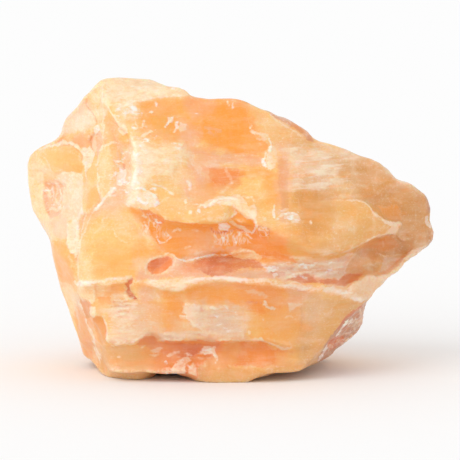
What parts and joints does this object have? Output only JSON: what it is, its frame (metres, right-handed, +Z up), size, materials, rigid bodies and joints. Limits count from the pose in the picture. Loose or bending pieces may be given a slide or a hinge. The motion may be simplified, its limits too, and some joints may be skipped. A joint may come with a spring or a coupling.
{
  "type": "raw orange calcite",
  "caption": "Rough hand-size piece of translucent orange calcite with ledges, hollows and cleavage steps, standing on its own broken underside.",
  "frame": {"origin": "middle of the footprint of the stone's bounding box, on the ground it rests on", "axes": "+Z up as it stands, +X along its length towards the blunt point, -Y towards the ledged front"},
  "size_m": [0.1026, 0.0606, 0.0751],
  "materials": {
    "calcite": "waxy, translucent, with pale frosted breaks"
  },
  "bodies": {
    "root": {"calcite": "calcite"}
  },
  "joints": []
}
